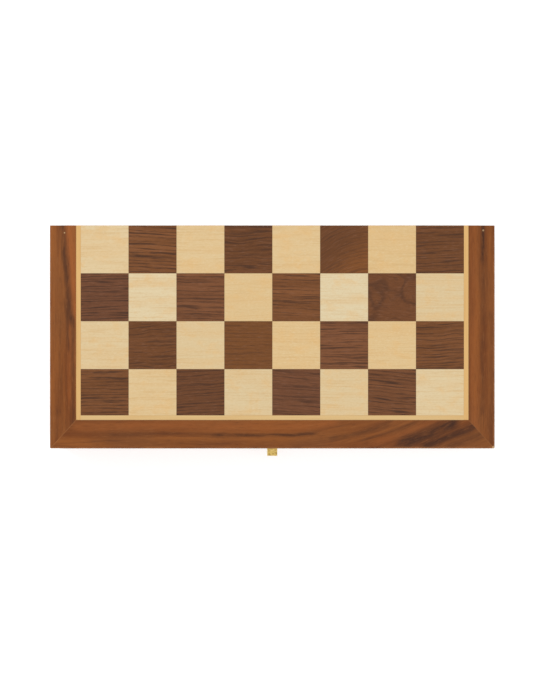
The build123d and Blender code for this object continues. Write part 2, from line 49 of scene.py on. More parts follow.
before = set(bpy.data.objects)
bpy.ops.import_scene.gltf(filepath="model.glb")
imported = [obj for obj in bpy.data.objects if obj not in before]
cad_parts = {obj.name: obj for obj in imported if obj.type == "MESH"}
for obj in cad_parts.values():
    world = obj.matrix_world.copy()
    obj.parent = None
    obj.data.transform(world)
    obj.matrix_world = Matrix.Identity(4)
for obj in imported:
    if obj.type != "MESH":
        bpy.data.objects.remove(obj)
cad_low, cad_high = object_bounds()

mm = 0.001

# The board's layout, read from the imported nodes
columns, rows = 8, 4
split_level = (cad_low.z + cad_high.z) / 2
face_level = cad_high.z
tiles_low, tiles_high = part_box("upper_dark_squares")
strips_low, strips_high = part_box("upper_border_strips")
frame_low, frame_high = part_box("upper_front_rail")
square = (tiles_high.x - tiles_low.x) / columns
fold_line = tiles_high.y
mitre_slope = (strips_low.y - frame_low.y) / (frame_high.x - strips_high.x)

# Column and row, from the front left, of three dark squares with a figure of their own
sweep_square = (5, 3)
swirl_square = (6, 2)
plain_square = (3, 1)

# Joint between two squares: how far from it the dark line is at its full strength, and where it ends
joint_core, joint_edge = 0.05 * mm, 0.35 * mm

# How far a streak in a rail takes to fade out past its ends
streak_fade = 10 * mm

# Chessmen: foot radius, height, and the widest radius above the foot as a share of the foot's
foot_radius = {
    "king": 15 * mm, "queen": 14 * mm, "bishop": 13 * mm, "knight": 13 * mm, "rook": 13 * mm,
    "pawn": 11.5 * mm,
}
tallness = {
    "king": 76 * mm, "queen": 68 * mm, "bishop": 60 * mm, "knight": 54 * mm, "rook": 45 * mm,
    "pawn": 42 * mm,
}
body_share = {"king": 0.66, "queen": 0.66, "bishop": 0.64, "knight": 0.89, "rook": 0.71, "pawn": 0.65}
officers = ("rook_1", "knight_1", "bishop_1", "queen", "king", "bishop_2", "knight_2", "rook_2")
pawns = ("pawn",) * columns

# Felt pad under each foot: thickness, how far inside the foot it ends, and how wide its rim bulges
pad_thickness = 0.8 * mm
pad_inset = 1.2 * mm
pad_rim = 0.35 * mm

# Slots in the foam: room beside a man, the wide part's share of the man's height, corner radii at the
# foot and at the mouth, and how far the heads reach past the foam into the finger trough
slot_clearance = 0.3 * mm
slot_foot_share = 0.24
slot_corner = 2.0 * mm
mouth_corner = 1.6 * mm
head_overhang = 6.0 * mm

# Foam: radii of the corners at the wall and round the top, the lip of flat top inside the round, the
# least radius that a corner keeps, and how much of a slot's step each of its two corners takes
wall_corner = 0.6 * mm
top_rounding = 1.3 * mm
top_lip = 0.5 * mm
least_corner = 0.05 * mm
step_corner_share = 0.45

# Felt lining: how far each of its two waves goes to either side of its middle
ripple = 0.06 * mm

# Carved faces of a knight that meet at more than this have a sharp edge between them
crease_angle = math.radians(32)


# Nodes of a finish

def tone(red, green, blue):
    """Display tones from 0 to 255 as the linear colour that a shader takes."""
    shares = np.array([red, green, blue]) / 255
    linear = np.where(shares <= 0.04045, shares / 12.92, ((shares + 0.055) / 1.055) ** 2.4)
    return (*linear.tolist(), 1.0)


class Finish:
    """One material. Its calls add nodes, and each returns the socket that holds the result."""

    def __init__(self, name, roughness, gloss=0.5):
        self.material = bpy.data.materials.new(name)
        self.material.use_nodes = True
        self.tree = self.material.node_tree
        self.shader = self.tree.nodes["Principled BSDF"]
        self.shader.inputs["Roughness"].default_value = roughness
        self.shader.inputs["Specular IOR Level"].default_value = gloss

    def put(self, socket, value):
        """Feed a socket from another node, or set it to a plain value."""
        if isinstance(value, bpy.types.NodeSocket):
            self.tree.links.new(value, socket)
        else:
            socket.default_value = value

    def add(self, kind, inputs, result=0, **settings):
        """A node with its settings and inputs. An input is another node's socket or a plain value."""
        node = self.tree.nodes.new(kind)
        for name, value in settings.items():
            setattr(node, name, value)
        for key, value in inputs.items():
            self.put(node.inputs[key], value)
        return node.outputs[result]

    def calc(self, operation, *values):
        """Arithmetic on sockets and plain values."""
        return self.add("ShaderNodeMath", dict(enumerate(values)), operation=operation)

    def place(self):
        """Where a point of the piece lies, as three sockets."""
        return self.split(self.add("ShaderNodeTexCoord", {}, "Object"))

    def split(self, vector):
        """The three parts of a vector."""
        node = self.tree.nodes.new("ShaderNodeSeparateXYZ")
        self.put(node.inputs[0], vector)
        return node.outputs[0], node.outputs[1], node.outputs[2]

    def join(self, x, y, z):
        """A vector from its three parts."""
        return self.add("ShaderNodeCombineXYZ", {0: x, 1: y, 2: z})

    def scaled(self, value, factor, offset=0.0):
        """The value times a factor, plus an offset."""
        return self.calc("MULTIPLY_ADD", value, factor, offset)

    def cloud(self, vector, scale=1.0, detail=2.0, rough=0.5):
        """Soft noise from about 0.2 to 0.8."""
        inputs = {"Vector": vector, "Scale": scale, "Detail": detail, "Roughness": rough}
        return self.add("ShaderNodeTexNoise", inputs, "Fac")

    def grain(self, *measures, detail=2.0, rough=0.5):
        """Soft noise drawn out along the measure whose scale is least.

        A measure comes with its scale, and with an offset if it has one, or else is taken as it is.
        """
        parts = [self.scaled(*part) if isinstance(part, tuple) else part for part in measures]
        return self.cloud(self.join(*parts), detail=detail, rough=rough)

    def luck(self, vector):
        """Three numbers from 0 to 1 that stay the same wherever the vector does."""
        return self.split(self.add("ShaderNodeTexWhiteNoise", {"Vector": vector}, "Color"))

    def ease(self, value, start, end, low=0.0, high=1.0):
        """Low before the start, high after the end, and a smooth step between them."""
        inputs = {"Value": value, "From Min": start, "From Max": end, "To Min": low, "To Max": high}
        return self.add("ShaderNodeMapRange", inputs, "Result", interpolation_type="SMOOTHSTEP")

    def dye(self, share, first, second):
        """The first colour where the share is 0, the second where it is 1."""
        return self.add("ShaderNodeMix", {0: share, 6: first, 7: second}, 2, data_type="RGBA")

    def band(self, value, middle, half_width):
        """1 on the middle line, and down to 0 at half a width to either side."""
        away = self.calc("ABSOLUTE", self.calc("SUBTRACT", value, middle))
        return self.ease(away, 0.0, half_width, 1.0, 0.0)

    def coat(self, colour, height, depth, roughness=None):
        """Send the colour, the relief with its depth and any uneven roughness to the shader."""
        self.put(self.shader.inputs["Base Color"], colour)
        relief = {"Height": height, "Distance": depth, "Strength": 1.0}
        self.put(self.shader.inputs["Normal"], self.add("ShaderNodeBump", relief))
        if roughness is not None:
            self.put(self.shader.inputs["Roughness"], roughness)
        return self.material


# Woods

def square_of(f, x, y, z):
    """Column, row and half of the square that a point is in, and how far it is from a joint."""
    across = f.calc("DIVIDE", f.calc("SUBTRACT", x, tiles_low.x), square)
    along = f.calc("DIVIDE", f.calc("SUBTRACT", y, fold_line - rows * square), square)
    column = f.calc("FLOOR", across)
    row = f.calc("MINIMUM", f.calc("FLOOR", along), rows - 1.0)
    half = f.calc("GREATER_THAN", z, split_level)
    to_joint = []
    for share in (across, along):
        part = f.calc("FRACT", share)
        to_joint.append(f.scaled(f.calc("MINIMUM", part, f.calc("SUBTRACT", 1.0, part)), square))
    front = f.calc("ABSOLUTE", f.calc("SUBTRACT", y, tiles_low.y))
    nearest = f.calc("MINIMUM", f.calc("MINIMUM", *to_joint), front)
    return column, row, half, nearest


def walnut_square():
    """Walnut veneer: close dark lines that wave gently, fine fibres between them, and one tone a square.

    A line lies where the sine of a point's height across the grain peaks. Slow noise bends the height
    and a finer noise shifts the sine, so that the lines come unevenly and fade in and out. Three squares
    of the upper half have the figure of the photographed ones: a sweep, a swirl and plain warm wood.
    """
    f = Finish("walnut_square", roughness=0.42, gloss=0.2)
    x, y, z = f.place()
    column, row, half, to_joint = square_of(f, x, y, z)
    shade, wave, shift = f.luck(f.join(column, row, f.scaled(half, 7.0, 3.0)))
    spread, blush, force = f.luck(f.join(row, column, f.scaled(half, 5.0, 17.0)))
    offset = f.scaled(shift, 40.0)

    def only(place):
        """1 on one square of the upper half, and 0 elsewhere."""
        there = [f.calc("COMPARE", here, float(wanted), 0.5) for here, wanted in zip((column, row), place)]
        return f.calc("MULTIPLY", f.calc("MULTIPLY", *there), half)

    sweep, swirl, plain = only(sweep_square), only(swirl_square), only(plain_square)

    # Height across the grain: a slow wave, a slight tilt, and the sweep's arc
    swell = f.grain((x, 30.0), (y, 55.0), offset)
    wave_height = f.scaled(f.calc("POWER", wave, 3.0), 6.0 * mm, 1.5 * mm)
    tilt = f.calc("MULTIPLY", f.scaled(shift, 0.16, -0.08), x)
    waved = f.calc("MULTIPLY", f.calc("SUBTRACT", swell, 0.5), wave_height)
    bent = f.calc("ADD", y, f.calc("ADD", tilt, waved))
    into = f.calc("SUBTRACT", x, tiles_low.x + sweep_square[0] * square)
    rise = f.calc("MULTIPLY", into, f.scaled(into, -8.0, 0.7))
    bent = f.calc("SUBTRACT", bent, f.calc("MULTIPLY", sweep, rise))

    # Fibres follow that height. The lines and bands follow the swirl's eddy as well
    fibres = f.grain((x, 150.0), (bent, 1300.0), offset, detail=3.0, rough=0.7)
    eddy = f.grain((x, 42.0), (y, 42.0), offset, detail=1.5)
    bent = f.calc("ADD", bent, f.calc("MULTIPLY", swirl, f.scaled(eddy, 50.0 * mm)))
    drift = f.grain((x, 12.0), (bent, 250.0), offset, detail=3.0, rough=0.6)
    turns = f.calc("MULTIPLY", bent, f.scaled(spread, 900.0, 1700.0))
    rib = f.calc("SINE", f.calc("ADD", turns, f.scaled(drift, 18.0)))
    reach = f.grain((x, 45.0), (bent, 330.0), offset, rough=0.6)
    lines = f.calc("MULTIPLY", f.ease(rib, -0.2, 1.0), f.ease(reach, 0.36, 0.60, 0.25, 1.0))
    calm = f.calc("ADD", f.scaled(swirl, 0.50), f.calc("ADD", f.scaled(plain, 0.52), f.scaled(sweep, 0.32)))
    lines = f.calc("MULTIPLY", lines, f.calc("SUBTRACT", f.scaled(force, 0.35, 0.65), calm))
    vein = f.calc("MULTIPLY", f.band(eddy, 0.5, 0.07), swirl)
    bands = f.grain((x, 9.0), (bent, 110.0), offset)

    # Tones, from the broad bands and the square's own tone to the fibres, the lines and the joint
    wood = f.dye(f.ease(bands, 0.34, 0.66), tone(116, 70, 33), tone(132, 82, 44))
    wood = f.dye(f.ease(shade, 0.0, 1.0, 0.0, 0.75), wood, tone(98, 58, 28))
    wood = f.dye(f.ease(blush, 0.2, 1.0, 0.0, 0.38), wood, tone(118, 75, 55))
    wood = f.dye(f.scaled(swirl, 0.45), wood, tone(118, 70, 36))
    wood = f.dye(f.scaled(vein, 0.55), wood, tone(72, 42, 24))
    wood = f.dye(f.scaled(plain, 0.75), wood, tone(122, 74, 30))
    to_corner = f.calc("SUBTRACT", into, f.calc("SUBTRACT", y, fold_line - square))
    warm = f.ease(to_corner, -0.3 * square, 0.8 * square)
    wood = f.dye(f.calc("MULTIPLY", f.calc("MULTIPLY", sweep, warm), 0.65), wood, tone(140, 84, 36))
    wood = f.dye(f.ease(fibres, 0.52, 0.74, 0.0, 0.40), wood, tone(142, 103, 82))
    wood = f.dye(f.ease(fibres, 0.28, 0.48, 0.50, 0.0), wood, tone(68, 42, 26))
    wood = f.dye(f.scaled(lines, 0.88), wood, tone(60, 36, 23))
    wood = f.dye(f.ease(to_joint, joint_core, joint_edge, 0.45, 0.0), wood, tone(52, 32, 20))
    return f.coat(wood, f.calc("ADD", lines, fibres), depth=-0.04 * mm)


def maple_square():
    """Pale veneer with close faint lines and soft orange clouds. Some squares are creamier than others."""
    f = Finish("maple_square", roughness=0.40, gloss=0.25)
    x, y, z = f.place()
    column, row, half, to_joint = square_of(f, x, y, z)
    shade, glow, shift = f.luck(f.join(column, row, f.scaled(half, 5.0, 11.0)))
    offset = f.scaled(shift, 40.0)
    swell = f.grain((x, 22.0), (y, 45.0), offset, detail=1.0)
    bent = f.calc("ADD", y, f.scaled(swell, 2.5 * mm))
    bands = f.grain((x, 12.0), (bent, 150.0), offset, detail=3.0)
    lines = f.grain((x, 30.0), (bent, 820.0), offset, rough=0.6)
    fleck = f.grain((x, 420.0), (y, 900.0), offset, rough=0.7)
    cloudy = f.grain((x, 70.0), (y, 110.0), offset, detail=3.0, rough=0.6)

    wood = f.dye(shade, tone(229, 196, 142), tone(229, 212, 174))
    wood = f.dye(f.scaled(glow, 0.40), wood, tone(217, 188, 138))
    wood = f.dye(f.ease(bands, 0.38, 0.70, 0.0, 0.35), wood, tone(226, 184, 124))
    wood = f.dye(f.ease(cloudy, 0.48, 0.72, 0.0, 0.38), wood, tone(232, 186, 120))
    wood = f.dye(f.ease(lines, 0.48, 0.74, 0.0, 0.38), wood, tone(208, 166, 106))
    wood = f.dye(f.ease(fleck, 0.50, 0.76, 0.0, 0.26), wood, tone(206, 168, 112))
    wood = f.dye(f.ease(fleck, 0.28, 0.48, 0.22, 0.0), wood, tone(240, 222, 186))
    wood = f.dye(f.ease(to_joint, joint_core, joint_edge, 0.40, 0.0), wood, tone(140, 96, 56))
    return f.coat(wood, lines, depth=-0.02 * mm)


def maple_strip():
    """Border strip, a little yellower than the squares, with its grain along each strip."""
    f = Finish("maple_strip", roughness=0.40, gloss=0.25)
    x, y, z = f.place()
    beside = f.calc("GREATER_THAN", f.calc("ABSOLUTE", x), tiles_high.x)
    in_front = f.calc("SUBTRACT", 1.0, beside)
    along = f.calc("ADD", f.calc("MULTIPLY", beside, y), f.calc("MULTIPLY", in_front, x))
    over = f.calc("ADD", f.calc("MULTIPLY", beside, x), f.calc("MULTIPLY", in_front, y))
    lines = f.grain((along, 22.0), (over, 900.0), (z, 50.0))
    bands = f.grain((along, 9.0), (over, 260.0), 4.0)

    wood = f.dye(beside, tone(225, 190, 132), tone(229, 184, 118))
    wood = f.dye(f.ease(bands, 0.4, 0.75, 0.0, 0.4), wood, tone(216, 170, 106))
    wood = f.dye(f.ease(lines, 0.50, 0.75, 0.0, 0.4), wood, tone(206, 156, 92))
    side = f.calc("SUBTRACT", strips_high.x, f.calc("ABSOLUTE", x))
    front = f.calc("SUBTRACT", y, strips_low.y)
    to_frame = f.calc("MINIMUM", side, front)
    wood = f.dye(f.ease(to_frame, 0.10 * mm, 0.50 * mm, 0.55, 0.0), wood, tone(110, 66, 34))
    return f.coat(wood, lines, depth=0.02 * mm)


def rail_walnut(name, lengthways, offset, streaks=(), glows=(), marks=(), sweep=None, stain=0.0):
    """Oiled walnut of one rail, with its grain along the rail and through its thickness.

    A streak is a dark band and a glow a warm pale one: its place across the rail, how far it leans over
    a metre, its half width, its strength, and where along the rail it starts and ends. The layers of the
    grain slope at 45 degrees under the face, so a streak runs on along the rail's side. A mark is a small
    filled hole or worn spot: its place, radius and strength. A sweep bends the grain: from its start the
    lines rise as a parabola until they reach its slope at the end of the ramp, and then straight on. The
    stain darkens the whole rail.
    """
    f = Finish(name, roughness=0.40, gloss=0.2)
    x, y, z = f.place()
    along, over = (x, y) if lengthways == "x" else (y, x)

    # Height across the grain
    swell = f.grain((along, 11.0), (over, 40.0), (z, 40.0, offset), detail=3.0)
    under_face = f.calc("SUBTRACT", z, face_level)
    bent = f.calc("ADD", f.calc("ADD", over, under_face), f.scaled(swell, 6.0 * mm, -3.0 * mm))
    if sweep:
        start, ramp, slope = sweep
        into = f.calc("MAXIMUM", f.scaled(along, 1.0, -start), 0.0)
        curved = f.calc("MINIMUM", into, ramp)
        parabola = f.scaled(f.calc("MULTIPLY", curved, curved), 0.5 / ramp)
        rise = f.calc("ADD", parabola, f.calc("SUBTRACT", into, curved))
        bent = f.calc("SUBTRACT", bent, f.scaled(rise, slope))
    bands = f.grain((along, 6.0), (bent, 110.0), (z, 110.0, offset))
    lines = f.grain((along, 18.0), (bent, 420.0), (z, 420.0), detail=3.0, rough=0.6)
    pores = f.grain((along, 110.0), (bent, 1100.0), (z, 1100.0), detail=3.0, rough=0.7)
    slow = f.grain((along, 16.0), (over, 30.0, offset), (z, 30.0), detail=1.0)
    blots = f.grain((along, 70.0), (bent, 260.0), (z, 260.0, offset), detail=4.0, rough=0.6)

    # Bands, lines, the rail's own streaks and glows, and the pores
    wood = f.dye(f.ease(bands, 0.30, 0.70), tone(118, 62, 21), tone(152, 88, 36))
    wood = f.dye(f.ease(slow, 0.40, 0.70, 0.0, 0.45), wood, tone(128, 77, 38))
    wood = f.dye(f.ease(lines, 0.48, 0.74, 0.0, 0.45), wood, tone(92, 49, 20))
    broken = f.ease(blots, 0.32, 0.58, 0.50, 1.0)
    for shade, bars in ((tone(162, 91, 40), glows), (tone(56, 29, 15), streaks)):
        for middle, lean, half_width, strength, start, end in bars:
            line = f.calc("SUBTRACT", bent, f.scaled(along, lean))
            begun = f.ease(along, start - streak_fade, start)
            reach = f.calc("MULTIPLY", begun, f.ease(along, end, end + streak_fade, 1.0, 0.0))
            share = f.calc("MULTIPLY", f.scaled(f.band(line, middle, half_width), strength), reach)
            wood = f.dye(f.calc("MULTIPLY", share, broken), wood, shade)
    wood = f.dye(f.ease(pores, 0.54, 0.74, 0.0, 0.45), wood, tone(74, 40, 20))
    wood = f.dye(f.ease(pores, 0.28, 0.48, 0.30, 0.0), wood, tone(164, 108, 62))
    if stain:
        wood = f.dye(stain, wood, tone(96, 50, 18))

    # Wear and a painted highlight along the outer edges, the small marks, and the pale line of each mitre
    if lengthways == "x":
        edge = f.calc("SUBTRACT", y, frame_low.y)
    else:
        edge = f.calc("SUBTRACT", cad_high.x, f.calc("ABSOLUTE", x))
    to_face = f.calc("MINIMUM", z, f.calc("SUBTRACT", face_level, z))
    rub_and_highlight = f.grain((x, 60.0), (y, 60.0), (z, 60.0), detail=3.0)
    # Painted highlight and edge wear: a warm pale tone near the rounded outer edges, broken up by noise
    near = f.ease(f.calc("MAXIMUM", edge, to_face), 0.4 * mm, 2.2 * mm, 0.5, 0.0)
    wood = f.dye(f.calc("MULTIPLY", near, f.ease(rub_and_highlight, 0.30, 0.62)), wood, tone(178, 116, 64))
    for place, radius, strength in marks:
        ends = {0: f.join(x, y, z), 1: (*place, face_level)}
        away = f.add("ShaderNodeVectorMath", ends, "Value", operation="DISTANCE")
        wood = f.dye(f.ease(away, radius * 0.4, radius, strength, 0.0), wood, tone(222, 186, 138))
    mitre = f.calc("MULTIPLY", f.calc("SUBTRACT", frame_high.x, f.calc("ABSOLUTE", x)), mitre_slope)
    to_mitre = f.calc("ABSOLUTE", f.calc("SUBTRACT", f.calc("SUBTRACT", y, frame_low.y), mitre))
    line = f.ease(to_mitre, 0.1 * mm, 0.65 * mm, 1.0, 0.0)
    joint = f.calc("MULTIPLY", line, f.ease(to_face, 0.0, 1.5 * mm, 1.0, 0.0))
    on_left = f.calc("LESS_THAN", x, 0.0)
    wood = f.dye(f.calc("MULTIPLY", joint, f.scaled(on_left, 0.12, 0.12)), wood, tone(192, 138, 88))
    return f.coat(wood, f.calc("ADD", lines, pores), depth=-0.04 * mm)


def plywood():
    """Thin board with its plies showing at the edge and rotary-cut figure on its faces."""
    f = Finish("panel_board", roughness=0.6, gloss=0.3)
    x, y, z = f.place()
    ply = f.calc("FRACT", f.scaled(z, 1.0 / mm))
    cross = f.calc("GREATER_THAN", ply, 0.5)
    figure = f.grain((x, 8.0), (y, 70.0), 2.0, detail=4.0)
    wood = f.dye(f.ease(figure, 0.35, 0.65), tone(206, 170, 122), tone(182, 142, 96))
    wood = f.dye(f.scaled(cross, 0.35), wood, tone(150, 110, 70))
    return f.coat(wood, figure, depth=0.05 * mm)


def turned_wood(name, pale, dark, line, roughness, gloss):
    """Wood of the chessmen, which lie along Y: grain along the man, and faint rings from the lathe."""
    f = Finish(name, roughness=roughness, gloss=gloss)
    x, y, z = f.place()
    figure = f.grain((x, 260.0), (y, 22.0), (z, 260.0), detail=4.0, rough=0.6)
    lines = f.grain((x, 1400.0), (y, 60.0), (z, 1400.0))
    rings = f.grain(0.0, (y, 2600.0), 0.0, detail=1.0)
    man = f.grain((x, 24.0), (y, 12.0), 6.0, detail=0.0)
    wood = f.dye(f.ease(figure, 0.30, 0.70), pale, dark)
    wood = f.dye(f.ease(man, 0.35, 0.65, 0.0, 0.35), wood, dark)
    wood = f.dye(f.ease(lines, 0.52, 0.75, 0.0, 0.55), wood, line)
    return f.coat(wood, f.calc("ADD", f.scaled(rings, 0.6), lines), depth=0.03 * mm)


# Metal and felt

def brass(name, colour, dark):
    """Lacquered brass with fine polishing lines and a little tarnish."""
    f = Finish(name, roughness=0.3)
    f.shader.inputs["Metallic"].default_value = 1.0
    x, y, z = f.place()
    lines = f.grain((x, 350.0), (y, 3000.0), (z, 3000.0))
    stain = f.grain((x, 420.0), (y, 420.0), (z, 420.0), detail=4.0, rough=0.65)
    metal = f.dye(f.ease(stain, 0.42, 0.66, 0.0, 0.75), colour, dark)
    return f.coat(metal, lines, depth=0.01 * mm, roughness=f.ease(stain, 0.3, 0.7, 0.22, 0.42))


def felt(name, base, light, dark, depth, fibre):
    """Flock or pressed felt: short fibres in two tones, soft patches where the nap lies another way."""
    f = Finish(name, roughness=0.95, gloss=0.1)
    f.shader.inputs["Sheen Weight"].default_value = 0.2
    f.shader.inputs["Sheen Roughness"].default_value = 0.5
    f.shader.inputs["Sheen Tint"].default_value = light
    x, y, z = f.place()
    here = f.join(x, y, z)
    fibres = f.cloud(here, fibre, 4.0, 0.7)
    clumps = f.cloud(here, fibre * 0.22, 3.0, 0.6)
    nap = f.cloud(here, 28.0, 2.0)
    cloth = f.dye(f.ease(fibres, 0.35, 0.65), dark, base)
    cloth = f.dye(f.ease(clumps, 0.50, 0.75, 0.0, 0.5), cloth, light)
    cloth = f.dye(f.ease(nap, 0.40, 0.70, 0.0, 0.3), cloth, dark)
    return f.coat(cloth, f.calc("ADD", fibres, f.scaled(clumps, 0.8)), depth)


# Where the photographed rails have their dark streaks and warm bands, on the upper half. The columns
# are those that rail_walnut names
left_streaks = (
    (-170.7 * mm, -0.098, 5.0 * mm, 0.75, 20 * mm, 100 * mm),
    (-174.5 * mm, -0.090, 2.6 * mm, 0.50, -5 * mm, 30 * mm),
    (-170.0 * mm, 0.0, 3.0 * mm, 0.55, -75 * mm, 15 * mm),
    (-182.0 * mm, 0.02, 7.0 * mm, 0.25, -60 * mm, 50 * mm),
)
left_glows = (
    (-166.0 * mm, -0.098, 8.0 * mm, 0.80, 25 * mm, 100 * mm),
    (-173.0 * mm, 0.0, 3.5 * mm, 0.45, -50 * mm, 10 * mm),
)
right_streaks = (
    (180.9 * mm, 0.0, 3.4 * mm, 0.95, 70 * mm, 96 * mm),
    (180.3 * mm, 0.012, 3.4 * mm, 0.40, -60 * mm, 60 * mm),
    (187.5 * mm, 0.0, 7.0 * mm, 0.30, -100 * mm, 20 * mm),
)
right_glows = ((173.0 * mm, 0.0, 6.0 * mm, 0.45, -90 * mm, 96 * mm),)
front_streaks = (
    (-80.6 * mm, 0.0, 3.2 * mm, 0.80, -45 * mm, 32 * mm),
    (-80.2 * mm, 0.0, 3.2 * mm, 0.35, -135 * mm, -45 * mm),
    (-87.5 * mm, 0.0, 6.0 * mm, 0.25, -150 * mm, 40 * mm),
    (-87.0 * mm, 0.0, 4.2 * mm, 0.60, 52 * mm, 96 * mm),
    (-94.0 * mm, 0.0, 3.0 * mm, 0.35, 80 * mm, 120 * mm),
    (-108.9 * mm, 0.0, 11.0 * mm, 1.00, 112 * mm, 154 * mm),
    (-118.5 * mm, 0.0, 6.5 * mm, 0.95, 132 * mm, 176 * mm),
    (-127.0 * mm, 0.0, 9.0 * mm, 0.50, 140 * mm, 190 * mm),
)
front_glows = (
    (-73.0 * mm, 0.0, 7.0 * mm, 0.60, -165 * mm, 50 * mm),
    (-100.0 * mm, 0.0, 5.0 * mm, 0.50, 90 * mm, 150 * mm),
)
front_sweep = (10 * mm, 90 * mm, 0.38)

# A filled pin hole near the fold in each side rail, and the worn corner at the front right
left_pin = ((-177.8 * mm, 92.6 * mm), 0.8 * mm, 0.7)
right_pin = ((180.5 * mm, 94.7 * mm), 1.1 * mm, 0.5)
worn_corner = ((189.4 * mm, -91.2 * mm), 1.8 * mm, 0.7)

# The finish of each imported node. The right and front rails are a little darker than the left one
darker_stain = 0.12
finishes = {
    "upper_left_rail": rail_walnut(
        "left_rail_walnut", "y", offset=3.0, streaks=left_streaks, glows=left_glows, marks=[left_pin]),
    "upper_right_rail": rail_walnut(
        "right_rail_walnut", "y", offset=8.0, streaks=right_streaks, glows=right_glows,
        marks=[right_pin, worn_corner], stain=darker_stain),
    "upper_front_rail": rail_walnut(
        "front_rail_walnut", "x", offset=13.0, streaks=front_streaks, glows=front_glows,
        marks=[worn_corner], sweep=front_sweep, stain=darker_stain),
}
side_walnut = rail_walnut("side_rail_walnut", "y", offset=21.0)
cross_walnut = rail_walnut("cross_rail_walnut", "x", offset=27.0)
dark_veneer = walnut_square()
pale_veneer = maple_square()
strip_veneer = maple_strip()
board = plywood()
hardware_brass = brass("brass", tone(220, 190, 112), tone(140, 104, 50))
screw_brass = brass("brass_screw", tone(226, 192, 118), tone(150, 112, 62))
boxwood = turned_wood(
    "boxwood", tone(226, 192, 132), tone(205, 164, 100), tone(176, 130, 72), roughness=0.34, gloss=0.35)
ebonised = turned_wood(
    "ebonised_wood", tone(46, 34, 28), tone(28, 21, 18), tone(74, 50, 36), roughness=0.30, gloss=0.35)
lining_felt = felt(
    "green_felt", tone(38, 84, 58), tone(64, 112, 82), tone(22, 56, 38), depth=0.25 * mm, fibre=2600.0)
tray_flock = felt(
    "green_foam", tone(30, 72, 50), tone(52, 98, 72), tone(18, 48, 33), depth=0.20 * mm, fibre=3400.0)
foot_felt = felt(
    "pad_felt", tone(34, 78, 52), tone(58, 104, 76), tone(20, 50, 34), depth=0.30 * mm, fibre=2200.0)

for half in ("lower", "upper"):
    for side in ("left", "right"):
        finishes.setdefault(f"{half}_{side}_rail", side_walnut)
        finishes[f"{side}_hinge_{half}_leaf"] = hardware_brass
    finishes.setdefault(f"{half}_front_rail", cross_walnut)
    finishes[f"{half}_back_rail"] = cross_walnut
    finishes[f"{half}_base_panel"] = board
    finishes[f"{half}_playfield_core"] = board
    finishes[f"{half}_dark_squares"] = dark_veneer
    finishes[f"{half}_light_squares"] = pale_veneer
    finishes[f"{half}_border_strips"] = strip_veneer
    finishes[f"{half}_screws"] = screw_brass
for piece in ("left_hinge_pin", "right_hinge_pin", "latch_plate", "latch_pin", "latch_hasp", "catch_plate"):
    finishes[piece] = hardware_brass
for colour, wood in (("white", boxwood), ("black", ebonised)):
    for man in (*officers, "pawns"):
        finishes[f"{colour}_{man}"] = wood

for node, finish in finishes.items():
    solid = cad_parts[node]
    if not solid.material_slots:
        solid.data.materials.append(finish)
    for place in solid.material_slots:
        place.material = finish


# Pieces from arrays of points

def placed(name, data):
    """A new object of the scene, at the origin, that holds the data."""
    thing = bpy.data.objects.new(name, data)
    bpy.context.scene.collection.objects.link(thing)
    return thing


def full_turn(steps):
    """Angles round a circle, without the last one, which is the first again."""
    return np.linspace(0, 2 * np.pi, steps, endpoint=False)


def grid_faces(rings, points):
    """Quads between neighbouring rings of a grid of points, each ring closed on itself."""
    ring, point = np.meshgrid(np.arange(rings - 1), np.arange(points), indexing="ij")
    follow = (point + 1) % points
    here, above = ring * points, (ring + 1) * points
    corners = (here + point, here + follow, above + follow, above + point)
    return np.stack(corners, axis=-1).reshape(-1, 4).tolist()


def new_piece(name, points, faces, finish, flat_faces=()):
    """A closed piece from points and faces, its seams and poles merged and its faces turned outward."""
    mesh = bpy.data.meshes.new(name)
    mesh.from_pydata(points.reshape(-1, 3).tolist(), [], faces + list(flat_faces))
    mesh.polygons.foreach_set("use_smooth", [True] * len(faces) + [False] * len(flat_faces))
    shell = bmesh.new()
    shell.from_mesh(mesh)
    bmesh.ops.remove_doubles(shell, verts=shell.verts, dist=1e-6)
    bmesh.ops.recalc_face_normals(shell, faces=shell.faces)
    shell.to_mesh(mesh)
    shell.free()
    mesh.materials.append(finish)
    return placed(name, mesh)


# Foam trays, linings and foot pads

def kind_of(man):
    """The kind of a chessman, from its name."""
    return man.split("_")[0]


def rounded_outline(corners, radii, steps=7):
    """A closed outline of straight runs with an arc at each corner.

    Each corner gives way to a quarter circle that touches both runs: a point is the corner plus the
    radius times one less the sine of the turn along one run, and one less its cosine along the other.
    Where two arcs would need more than most of the run between them, both are made smaller.
    """
    most = 0.98
    before = np.roll(corners, 1, axis=0) - corners
    after = np.roll(corners, -1, axis=0) - corners
    length = np.linalg.norm(after, axis=1)
    room = np.minimum(1.0, most * length / (radii + np.roll(radii, -1)))
    radii = radii * np.minimum(room, np.roll(room, 1))
    before /= np.linalg.norm(before, axis=1, keepdims=True)
    after /= length[:, None]
    turn = np.linspace(0, np.pi / 2, steps)[None, :, None]
    reach = radii[:, None, None]
    arc = reach * ((1 - np.sin(turn)) * before[:, None] + (1 - np.cos(turn)) * after[:, None])
    return (corners[:, None] + arc).reshape(-1, 2)


def tray_corners(near, far, side, slots):
    """Plan of a foam tray: a comb whose back lies at the wall and whose slots open to the trough.

    The corners run along the wall and back along the open side. The sign of a corner's radius says
    whether the foam's corner stands out (+) or is let in (-).
    """
    corners = [(-side, near), (side, near), (side, far)]
    radii = [wall_corner, wall_corner, mouth_corner]
    for centre, wide, narrow, start, shoulder in reversed(slots):
        step = step_corner_share * (wide - narrow)
        corners += [
            (centre + narrow, far), (centre + narrow, shoulder), (centre + wide, shoulder),
            (centre + wide, start), (centre - wide, start),
            (centre - wide, shoulder), (centre - narrow, shoulder), (centre - narrow, far),
        ]
        radii += [mouth_corner, step, -step, -slot_corner, -slot_corner, -step, step, mouth_corner]
    corners.append((-side, far))
    radii.append(mouth_corner)
    return np.array(corners), np.array(radii)


